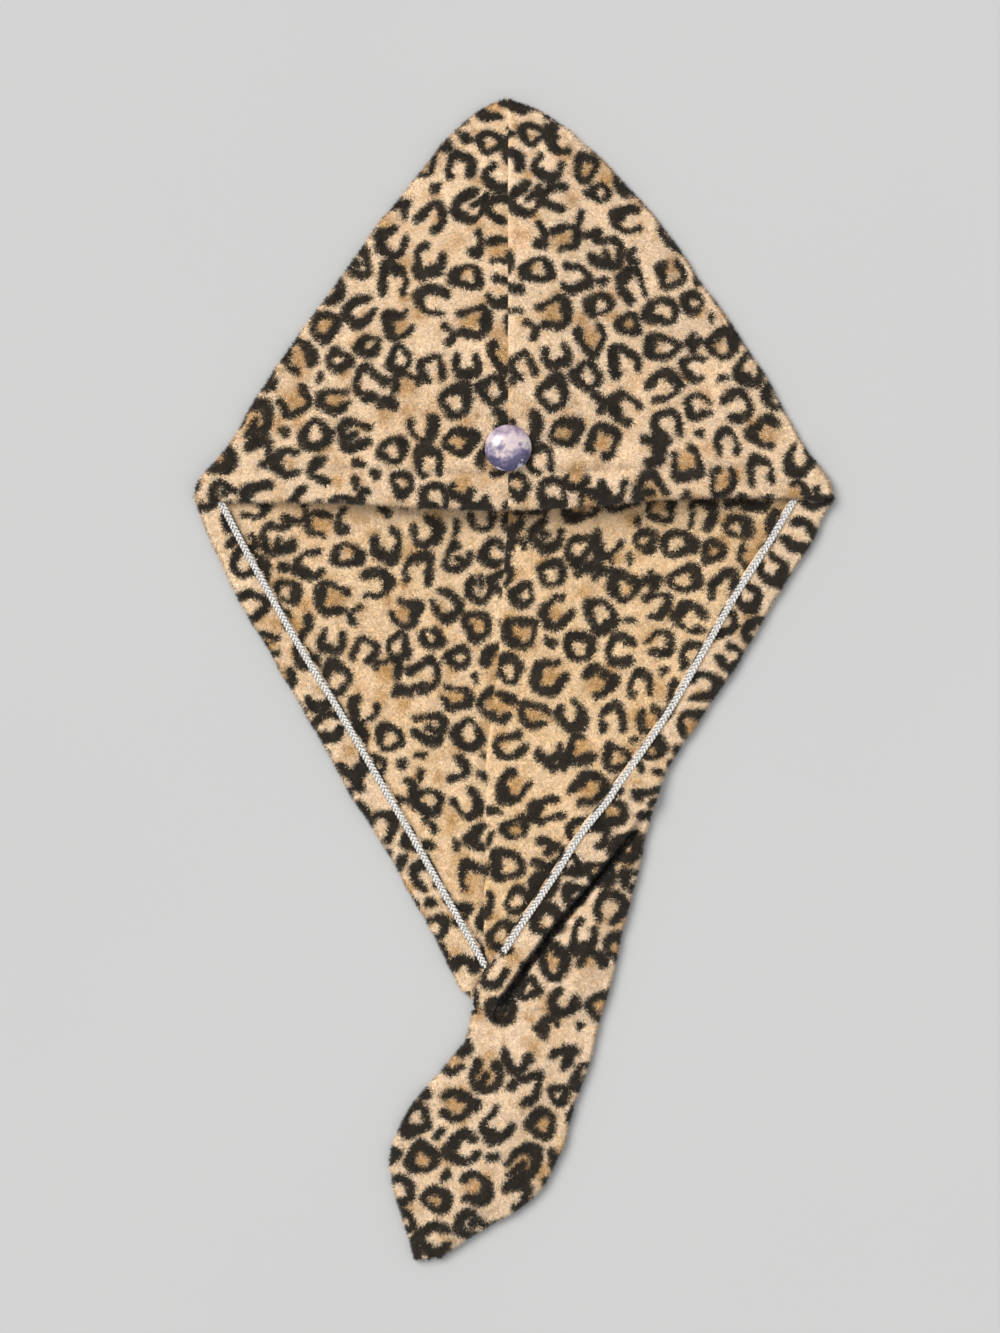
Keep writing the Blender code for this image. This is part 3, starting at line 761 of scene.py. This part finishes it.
def cloth_piece(name, points, region_of, material):
    """Sheet with the print stored at its corners.

    region_of names each grid point's region of the print, on the outer face and on the inner.
    """
    corners, quads, used, total = sheet_parts(points, GROUND)
    corners[:, 2] = np.maximum(corners[:, 2], 0.3 * MM)
    distance = np.zeros(len(used))
    brown = np.zeros(len(used))
    outer_names, inner_names = region_of
    names = np.concatenate([outer_names.ravel(), inner_names.ravel(), outer_names.ravel()])[used]
    for region in np.unique(names):
        chosen = names == region
        distance[chosen], brown[chosen] = printed(region, corners[chosen, 0], corners[chosen, 1])
    attributes = {
        "ink": ease(0.5 - distance / 1.6),
        "brown": brown,
        # Painted shade: the right panel's and right hem's cloth is darkened in the crease beside the tail's
        # hem
        "tone_and_painted_shade": 0.35 - valley_shade(corners[:, 0], corners[:, 1]) * name.startswith("right"),
        "inner": ((used >= total) & (used < 2 * total)).astype(float),
    }
    return make_mesh(name, corners, quads, attributes, material)


# Fibres: spread of the way they lie in radians, spread of their rise in degrees, and how much
# darker or paler their two root corners and their tip are
NAP_SPREAD = 1.1
RISE_SPREAD = 13
ROOT_TO_TIP = (-0.20, -0.20, 0.14)


def pile_piece(name, patches, material):
    """Short fibres, each one narrow triangle, over the given patches of cloth.

    A patch holds its grid, the face it grows on, which cells, the region of print, how many
    fibres a square millimetre holds, their length and the way that the nap lies.
    """
    corners, attributes, normals = [], {"ink": [], "brown": [], "tone_and_painted_shade": [], "inner": []}, []
    for patch in patches:
        points, face = patch["points"], patch["face"]
        present, cross, normal = grid_normals(points)
        chosen = present & patch["cells"]
        area = np.linalg.norm(cross, axis=2) / MM**2
        wanted = area[chosen] * patch["density"]
        count = np.floor(wanted + random.uniform(0, 1, wanted.shape)).astype(int)
        rows, places = np.nonzero(chosen)
        rows, places = np.repeat(rows, count), np.repeat(places, count)
        s, t = random.uniform(0, 1, (2, len(rows)))

        def between(field):
            near = field[rows, places] * ((1 - s) * (1 - t))[:, None]
            near = near + field[rows, places + 1] * ((1 - s) * t)[:, None]
            near = near + field[rows + 1, places] * (s * (1 - t))[:, None]
            return near + field[rows + 1, places + 1] * (s * t)[:, None]

        root = between(points)
        up = unit(between(normal) * face)
        x, y = root[:, 0], root[:, 1]
        nap = math.radians(patch["nap"]) + 0.9 * waves(x, y, 0.03, 51)
        nap = nap + random.normal(0, NAP_SPREAD, len(x))
        lie = np.stack([np.cos(nap), np.sin(nap), 0 * nap], axis=1)
        lie = unit(lie - up * (lie * up).sum(axis=1, keepdims=True))
        rise = random.normal(patch["rise"], RISE_SPREAD, len(x)) + 10 * waves(x, y, 0.006, 52)
        rise = np.radians(np.clip(rise, 8, 80))
        press = patch["press"](x, y)
        rise = rise * (0.35 + 0.65 * press)
        length = patch["length"] * random.uniform(0.7, 1.2, len(x)) * (0.5 + 0.5 * press)
        run = lie * (np.cos(rise) * length)[:, None]
        run = run + up * (np.sin(rise) * length)[:, None]
        wide = patch["width"] * random.uniform(0.7, 1.3, len(x)) / 2
        wide = unit(np.cross(up, lie)) * wide[:, None]
        base = root + up * (GROUND / 2 - 0.15 * MM)
        distance, brown = printed(patch["region"], x, y)
        distance = distance + random.normal(0, 0.35, len(x)) + 0.25 * waves(x, y, 0.004, 53)
        ink = ease(0.5 - distance / 1.1)
        brown = np.clip(brown * random.uniform(0.35, 1.65, len(x)), 0, 1)
        bend = unit(up * 0.85 + lie * 0.2 + random.normal(0, 0.22, root.shape))
        corners.append(np.stack([base + wide, base - wide, base + run], axis=1).reshape(-1, 3))
        normals.append(np.repeat(bend, 3, axis=0))
        tone_and_painted_shade = random.normal(0.5, 0.27, len(x)) + 0.3 * waves(x, y, 0.0017, 54)
        tone_and_painted_shade = np.repeat(tone_and_painted_shade, 3) + np.tile(ROOT_TO_TIP, len(x))
        # Painted shade: fibres are darkened where the patch's shade says, which is the crease beside the
        # tail's hem
        tone_and_painted_shade = tone_and_painted_shade - patch["shade"](*corners[-1][:, :2].T)
        attributes["ink"].append(np.repeat(ink, 3))
        attributes["brown"].append(np.repeat(brown, 3))
        attributes["tone_and_painted_shade"].append(np.clip(tone_and_painted_shade, -1.2, 1.2))
        attributes["inner"].append(np.full(3 * len(x), patch["inner"]))
    corners = np.concatenate(corners)
    corners[:, 2] = np.maximum(corners[:, 2], 0.15 * MM)
    faces = np.arange(len(corners)).reshape(-1, 3)
    attributes = {key: np.concatenate(values) for key, values in attributes.items()}
    piece = make_mesh(name, corners, faces, attributes, material)
    piece.data.normals_split_custom_set_from_vertices(np.concatenate(normals).astype(np.float32))
    return piece


# Materials


class Nodes:
    """Adds nodes to a material and joins them."""

    def __init__(self, name):
        self.material = bpy.data.materials.new(name)
        self.material.use_nodes = True
        self.tree = self.material.node_tree
        self.shader = self.tree.nodes["Principled BSDF"]

    def add(self, kind, inputs=(), **settings):
        node = self.tree.nodes.new(kind)
        for key, value in settings.items():
            setattr(node, key, value)
        for key, value in dict(inputs).items():
            self.give(node.inputs[key], value)
        return node

    def give(self, socket, value):
        """Joins another node's output to a socket, or stores a plain value there."""
        if isinstance(value, bpy.types.NodeSocket):
            self.tree.links.new(value, socket)
        else:
            socket.default_value = value

    def attribute(self, name):
        return self.add("ShaderNodeAttribute", attribute_name=name).outputs["Fac"]

    def mix(self, factor, first, second, blend="MIX"):
        inputs = {0: factor, 6: first, 7: second}
        return self.add("ShaderNodeMix", inputs, data_type="RGBA", blend_type=blend).outputs[2]

    def noise(self, scale, detail=2.0, roughness=0.5):
        place = self.add("ShaderNodeTexCoord").outputs["Object"]
        inputs = {"Vector": place, "Scale": scale, "Detail": detail, "Roughness": roughness}
        return self.add("ShaderNodeTexNoise", inputs).outputs["Fac"]

    def bump(self, height, strength, distance):
        inputs = {"Height": height, "Strength": strength, "Distance": distance}
        self.set(Normal=self.add("ShaderNodeBump", inputs).outputs[0])

    def ramp(self, factor, stops):
        node = self.add("ShaderNodeValToRGB", {"Fac": factor})
        while len(node.color_ramp.elements) < len(stops):
            node.color_ramp.elements.new(0.5)
        for element, (position, colour) in zip(node.color_ramp.elements, stops):
            element.position = position
            element.color = colour
        return node.outputs["Color"]

    def math(self, operation, first, second=0.0):
        return self.add("ShaderNodeMath", {0: first, 1: second}, operation=operation).outputs[0]

    def set(self, **values):
        for key, value in values.items():
            self.give(self.shader.inputs[key.replace("_", " ")], value)


def rgb(red, green, blue):
    """Screen colour from 0 to 255 as linear values."""
    shares = [c / 255 for c in (red, green, blue)]
    return (*[((c + 0.055) / 1.055) ** 2.4 if c > 0.04045 else c / 12.92 for c in shares], 1.0)


def fleece(name, bump):
    """Printed fleece: cream ground with its mottles, brown spots and charcoal marks."""
    nodes = Nodes(name)
    broad = nodes.noise(22.0, 3.0)
    creams = [(0.30, rgb(245, 216, 180)), (0.55, rgb(248, 222, 190)), (0.75, rgb(242, 208, 166))]
    cream = nodes.ramp(broad, creams)
    warm = nodes.mix(nodes.math("MULTIPLY", nodes.attribute("inner"), 0.55), cream, rgb(240, 204, 152))
    mottle = nodes.noise(230.0, 2.0, 0.6)
    golden = nodes.ramp(mottle, [(0.50, (0, 0, 0, 1)), (0.72, (0.6, 0.6, 0.6, 1))])
    warm = nodes.mix(golden, warm, rgb(222, 176, 122))
    rosy = nodes.ramp(mottle, [(0.28, (0.5, 0.5, 0.5, 1)), (0.44, (0, 0, 0, 1))])
    warm = nodes.mix(rosy, warm, rgb(240, 206, 184))
    brown = nodes.math("MULTIPLY", nodes.attribute("brown"), 0.92)
    ground = nodes.mix(brown, warm, rgb(192, 143, 78))
    patchy = nodes.noise(160.0, 2.0)
    charcoal = nodes.ramp(patchy, [(0.3, rgb(37, 32, 26)), (0.7, rgb(54, 47, 38))])
    dark = nodes.mix(nodes.attribute("ink"), ground, charcoal)
    # The attribute read here scales the colour: random tone of the fibres, darker roots and paler tips, and
    # painted shade in the crease beside the tail's hem
    shade = nodes.math("ADD", nodes.math("MULTIPLY", nodes.attribute("tone_and_painted_shade"), 0.56), 0.73)
    grey = nodes.add("ShaderNodeCombineColor", {"Red": shade, "Green": shade, "Blue": shade}).outputs[0]
    nodes.set(Base_Color=nodes.mix(1.0, dark, grey, "MULTIPLY"), Roughness=0.9)
    nodes.set(Sheen_Weight=0.25, Sheen_Roughness=0.5, Specular_IOR_Level=0.15)
    if bump:
        nodes.bump(nodes.noise(900.0, 3.0), 0.6, 0.6 * MM)
    return nodes.material


ground_material = fleece("fleece_ground", True)
pile_material = fleece("fleece_pile", False)


def thread_material():
    nodes = Nodes("overlock_thread")
    fine = nodes.noise(1500.0, 2.0)
    specks = nodes.noise(700.0, 4.0, 0.7)
    pale = nodes.ramp(fine, [(0.3, rgb(176, 172, 168)), (0.7, rgb(238, 236, 233))])
    # Painted shade: the thread is darkened where a strand dips under the others and on each strand's lower
    # side
    pale = nodes.mix(nodes.math("MULTIPLY", nodes.attribute("under"), 0.85), pale, rgb(92, 84, 78))
    dots = nodes.ramp(specks, [(0.36, (1, 1, 1, 1)), (0.42, (0, 0, 0, 1))])
    colour = nodes.mix(dots, pale, rgb(96, 88, 82))
    nodes.set(Base_Color=colour, Roughness=0.45, Sheen_Weight=0.3, Specular_IOR_Level=0.5)
    nodes.bump(fine, 0.7, 0.3 * MM)
    return nodes.material


def button_material():
    nodes = Nodes("button_resin")
    place = nodes.add("ShaderNodeTexCoord").outputs["Object"]
    height = nodes.add("ShaderNodeSeparateXYZ", {"Vector": place}).outputs["Y"]
    low = BUTTON_UP - ORIGIN[1]
    cloud = nodes.noise(130.0, 5.0, 0.62)
    split = nodes.math("MULTIPLY", nodes.math("SUBTRACT", height, low), 42.0)
    split = nodes.math("ADD", split, nodes.math("MULTIPLY", nodes.math("SUBTRACT", cloud, 0.5), 1.5))
    pearls = [
        (0.00, rgb(186, 178, 198)),
        (0.10, rgb(62, 60, 92)),
        (0.34, rgb(82, 76, 110)),
        (0.46, rgb(142, 130, 148)),
        (0.58, rgb(204, 187, 187)),
        (0.78, rgb(188, 170, 178)),
        (0.98, rgb(128, 112, 134)),
    ]
    pearl = nodes.ramp(nodes.math("ADD", split, 0.5), pearls)
    nodes.set(Base_Color=pearl, Roughness=0.28, Specular_IOR_Level=0.4)
    nodes.set(Coat_Weight=0.35, Coat_Roughness=0.12)
    return nodes.material


# Grids of cloth

left_points, HOOD_ROWS = panel_grid(-1)
right_points, _ = panel_grid(1)
panel_points = {-1: left_points, 1: right_points}
hems = {-1: side_hem_grid(-1, LEFT_HEM_END), 1: side_hem_grid(1, STRIP_END)}
front = front_hem_grid()

# Sign of a grid's normals on the cloth's outer face, told at one cell: a lower ply and the
# front's inner strip face down there, the side hems' strips face up
PLY_CELL = (30, 20)
STRIP_CELL = (30, 14)
FRONT_CELL = (15, 20)
OUTER = {}
for name, points, cell, faces_up in (
    ("left", left_points, PLY_CELL, False),
    ("right", right_points, PLY_CELL, False),
    ("left_hem", hems[-1], STRIP_CELL, True),
    ("right_hem", hems[1], STRIP_CELL, True),
    ("front", front, FRONT_CELL, False),
):
    OUTER[name] = 1 if (grid_normals(points)[1][cell][2] > 0) == faces_up else -1


def names_like(points, fill):
    return np.full(points.shape[:2], fill, dtype="<U12")


def panel_regions(points, name):
    outer, inner = names_like(points, "under"), names_like(points, "mouth_" + name)
    upper_start = LOWER_CELLS + FOLD_CELLS // 2
    outer[:HOOD_ROWS, upper_start:] = "hood_" + name
    outer[HOOD_ROWS:, upper_start:] = "tail"
    inner[:, upper_start:] = "under"
    return (outer, inner) if OUTER[name] > 0 else (inner, outer)


panels = {}
for side, name in SIDE_NAME.items():
    points = panel_points[side]
    regions = panel_regions(points, name)
    panels[side] = cloth_piece(name + "_panel_cloth", points, regions, ground_material)
hem_pieces = {}
for side, name in SIDE_NAME.items():
    same = names_like(hems[side], name + "_hem")
    hem_pieces[side] = cloth_piece(name + "_hem_cloth", hems[side], (same, same), ground_material)
front_names = names_like(front, "hood_right")
front_names[:, : front.shape[1] // 2] = "hood_left"
front_piece = cloth_piece("front_hem_cloth", front, (front_names, front_names), ground_material)

# Fibres on a square millimetre
DENSITY = 5.5


def cells_of(points, rows, places):
    mask = np.zeros((points.shape[0] - 1, points.shape[1] - 1), dtype=bool)
    mask[rows, places] = True
    return mask


def near_seam(x, y):
    """0 on the hood's centre seam, 1 away from it."""
    return np.clip(np.abs(x) / (2.2 * MM), 0, 1)


SEAM_DOWNS = np.linspace(0, 1.9, 60)
SEAM_X = np.array([seam_x(down) for down in SEAM_DOWNS])
SEAM_Y = np.array([side_edge(1, down)[1] for down in SEAM_DOWNS])


def near_lower_seam(x, y):
    """0 on the lower ply's centre seam, 1 away from it."""
    return np.clip(np.abs(x - np.interp(y, SEAM_Y[::-1], SEAM_X[::-1])) / (1.8 * MM), 0, 1)


def patch(points, face, cells, region, density=1.0, length=2.1, width=0.5, nap=-90, **more):
    """A patch of pile. Lengths are in mm, the nap and the rise from the cloth in degrees."""
    made = dict(points=points, face=face, cells=cells, region=region, nap=nap, rise=33, inner=0.0)
    made.update(density=DENSITY * density, length=length * MM, width=width * MM)
    made.update(press=lambda x, y: np.ones(len(x)), shade=lambda x, y: 0.0)
    made.update(more)
    return made


TOP = slice(LOWER_CELLS + FOLD_CELLS - 1, LOWER_CELLS + FOLD_CELLS + UPPER_CELLS)
BEND = slice(LOWER_CELLS + 1, LOWER_CELLS + FOLD_CELLS - 1)
LEFT_ROLL = slice(LOWER_CELLS + FOLD_CELLS + UPPER_CELLS, None)
ALL = slice(None)
HOOD = slice(0, HOOD_ROWS - 1)
BELOW_HOOD = slice(HOOD_ROWS - 1, None)
MOUTH_SEEN = slice(HOOD_ROWS - 12, None)

# Fibres on a bend are shorter and stand up more, and on the right side the fibres in the crease get painted
# shade
ON_BEND = {"length": 1.9, "rise": 52}
SHADED = {-1: {}, 1: {"shade": valley_shade}}
piles = {}


def grow(name, patches):
    piles[name] = pile_piece(name + "_pile", patches, pile_material)


for side, name in SIDE_NAME.items():
    points, face = panel_points[side], OUTER[name]
    hood = "hood_" + name
    top = cells_of(points, HOOD, TOP)
    bend = cells_of(points, HOOD, BEND)
    patches = [
        patch(points, face, top, hood, press=near_seam),
        patch(points, face, bend, hood, 1.2, **ON_BEND),
    ]
    grow(hood, patches)
    within = cells_of(points, MOUTH_SEEN, slice(0, LOWER_CELLS))
    # The inner pile on the right also gets the crease's painted shade
    pressed = {"inner": 1.0, "press": near_lower_seam, **SHADED[side]}
    mouth = patch(points, -face, within, "mouth_" + name, 0.85, 2.0, 0.52, -80, **pressed)
    grow("inside_" + name, [mouth])
face = OUTER["right"]
top = cells_of(right_points, BELOW_HOOD, TOP)
bend = cells_of(right_points, BELOW_HOOD, BEND) | cells_of(right_points, BELOW_HOOD, LEFT_ROLL)
patches = [
    # The tail's fibres get painted shade in the crease beside the right hem
    patch(right_points, face, top, "tail", 1.05, 2.2, 0.5, -70, press=clear_valley, shade=valley_shade),
    patch(right_points, face, bend, "tail", 1.2, **ON_BEND),
]
grow("tail", patches)
patches = []
for side, name in SIDE_NAME.items():
    hem, region = hems[side], name + "_hem"
    strip = cells_of(hem, ALL, slice(FOLD_CELLS - 1, None))
    bend = cells_of(hem, ALL, slice(1, FOLD_CELLS - 1))
    patches.append(patch(hem, OUTER[region], bend, region, 1.1, **ON_BEND, **SHADED[side]))
    patches.append(patch(hem, OUTER[region], strip, region, 1.0, 2.0, 0.5, -60, **SHADED[side]))
bend = cells_of(front, slice(0, FOLD_CELLS + 1), ALL)
for half, region in ((slice(0, UPPER_CELLS + 1), "hood_left"), (slice(UPPER_CELLS + 1, None), "hood_right")):
    patches.append(patch(front, OUTER["front"], bend & cells_of(front, ALL, half), region, 1.0, 2.2))
grow("edge", patches)


# Braids of the overlocked edges

STRANDS = 3
STRAND_SIDES = 6
PITCH = 6.4 * MM


def braid_piece(side, end, material):
    """Three strands plaited along the raw edge of a side hem."""
    name = SIDE_NAME[side] + "_overlock_braid"
    path = []
    for down in np.linspace(-0.009, end, 700):
        slant = abs(leaving(hem_edge, side, down)[0])
        x = hem_inner(side, down) + side * 1.7 * MM / slant
        z = hem_height(side, down) + CLOTH / 2 + BRAID_HEIGHT / 2 + 0.3 * MM
        path.append([x, hem_edge(side, down)[1], z])
    path = np.array(path)
    length = np.concatenate([[0], np.cumsum(np.linalg.norm(np.diff(path, axis=0), axis=1))])
    along = np.arange(0, length[-1], 0.35 * MM)
    path = np.stack([np.interp(along, length, path[:, k]) for k in range(3)], axis=1)
    up = np.array([0.0, 0.0, 1.0])
    beside = unit(np.cross(unit(np.gradient(path, axis=0)), up))
    corners, quads, under, start = [], [], [], 0
    for strand in range(STRANDS):
        phase = math.tau * (along / PITCH + strand / STRANDS)
        middle = path + beside * (1.25 * MM * np.sin(phase))[:, None]
        middle = middle + up * (0.42 * MM * np.sin(2 * phase))[:, None]
        direction = unit(np.gradient(middle, axis=0))
        flat_way = unit(np.cross(direction, up))
        high_way = np.cross(flat_way, direction)
        for k in range(STRAND_SIDES):
            turn = math.tau * k / STRAND_SIDES
            wobble = 1 + 0.18 * np.sin(along / (0.55 * MM) * math.tau + turn + strand)
            offset = flat_way * (math.cos(turn) * 0.60 * MM * wobble)[:, None]
            offset = offset + high_way * (math.sin(turn) * 0.52 * MM * wobble)[:, None]
            corners.append(middle + offset)
            # Painted shade, stored per corner: darker where the strand dips under the others and on its
            # lower side
            under.append(ease(0.5 - 0.75 * np.sin(2 * phase) - 0.2 * math.sin(turn)))
        count = len(along)
        line = start + np.arange(STRAND_SIDES)[:, None] * count + np.arange(count)[None]
        beyond = np.roll(line, -1, axis=0)
        cells = np.stack([line[:, :-1], line[:, 1:], beyond[:, 1:], beyond[:, :-1]], axis=2)
        quads.append(cells.reshape(-1, 4))
        start += STRAND_SIDES * count
    attributes = {"under": np.concatenate(under)}
    return make_mesh(name, np.concatenate(corners), np.concatenate(quads), attributes, material)


thread = thread_material()
braids = {-1: braid_piece(-1, LEFT_BRAID_END, thread), 1: braid_piece(1, RIGHT_BRAID_END, thread)}

# Button

# Distance from the middle and height, as shares of the radius and of the button's height
BUTTON_SECTION = (
    (0.00, 0.02), (0.26, 0.02), (0.27, 0.17), (0.60, 0.18),
    (0.90, 0.20), (0.98, 0.27), (1.00, 0.36), (0.985, 0.43),
    (0.95, 0.49), (0.90, 0.575), (0.80, 0.705), (0.66, 0.82),
    (0.50, 0.905), (0.34, 0.96), (0.16, 0.99), (0.00, 1.00),
)
BUTTON_SIDES = 96


def button_piece(material):
    steps = np.linspace(0, 1, len(BUTTON_SECTION))
    fine = np.linspace(0, 1, 70)
    out = np.clip(through(steps, [row[0] for row in BUTTON_SECTION], fine), 0.001, 1.0)
    up = np.clip(through(steps, [row[1] for row in BUTTON_SECTION], fine), 0.01, 1.0)
    turns = np.linspace(0, math.tau, BUTTON_SIDES + 1)[:-1]
    radius = out * BUTTON_DIAMETER / 2
    x = radius[:, None] * np.cos(turns)
    y = BUTTON_UP + radius[:, None] * np.sin(turns)
    z = button_low[2] + up[:, None] * BUTTON_HEIGHT + 0 * x
    corners = np.stack([x, y, z], axis=2).reshape(-1, 3)
    index = np.arange(len(corners)).reshape(len(fine), BUTTON_SIDES)
    right = np.roll(index, -1, axis=1)
    quads = np.stack([index[:-1], right[:-1], right[1:], index[1:]], axis=2).reshape(-1, 4)
    return make_mesh("resin_button", corners, quads, {}, material)


button = button_piece(button_material())

# What each piece stands for

for side, name in SIDE_NAME.items():
    for kind, pieces in (("_panel", panels), ("_hem", hem_pieces), ("_overlock", braids)):
        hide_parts(name + kind)
        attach(pieces[side], "root")
for node, piece in (("front_hem", front_piece), ("button", button)):
    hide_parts(node)
    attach(piece, "root")
for name, piece in piles.items():
    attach(piece, "root")

# Floor, light and camera

floor_nodes = Nodes("pale_floor")
speckle = floor_nodes.noise(3.0, 2.0)
greys = floor_nodes.ramp(speckle, [(0.3, rgb(177, 178, 178)), (0.7, rgb(179, 179, 180))])
floor_nodes.set(Base_Color=greys, Roughness=0.9)
FLOOR_HALF = 3.0
floor_corners = np.array([[-1, -1, 0], [1, -1, 0], [1, 1, 0], [-1, 1, 0]]) * FLOOR_HALF
floor = make_mesh("floor", floor_corners + ORIGIN, [[0, 1, 2, 3]], {}, floor_nodes.material)


def sunlight(name, direction, strength, spread, colour):
    light = bpy.data.lights.new(name, "SUN")
    light.energy = strength
    light.angle = math.radians(spread)
    light.color = colour
    stand(name, light).rotation_euler = Vector(direction).to_track_quat("-Z", "Y").to_euler()


sunlight("key_light", (1.0, -0.9, -1.6), 3.1, 34, (1.0, 0.985, 0.96))
sunlight("fill_light", (-1.0, 0.6, -2.0), 0.5, 60, (0.97, 0.985, 1.0))

world = bpy.data.worlds.new("studio")
bpy.context.scene.world = world
world.use_nodes = True
sky = world.node_tree.nodes["Background"].inputs
sky["Color"].default_value = (0.985, 1.0, 0.99, 1.0)
sky["Strength"].default_value = 0.55

# The photograph: a pixel's size on the floor, the picture's size, the pixel at the object's middle
PIXEL = 0.5 * MM
PICTURE = (1000, 1333)
MIDDLE_PIXEL = (513.5, 680)
VIEW_HEIGHT = 1.6
SENSOR = 36.0
view_x = (PICTURE[0] / 2 - MIDDLE_PIXEL[0]) * PIXEL
view_y = (MIDDLE_PIXEL[1] - PICTURE[1] / 2) * PIXEL
camera_data = bpy.data.cameras.new("camera")
camera_data.sensor_width = SENSOR
camera_data.lens = SENSOR * VIEW_HEIGHT / (PICTURE[1] * PIXEL)
camera = stand("camera", camera_data)
camera.location = (view_x, view_y, VIEW_HEIGHT)
bpy.context.scene.camera = camera
bpy.context.scene.view_settings.view_transform = "Standard"
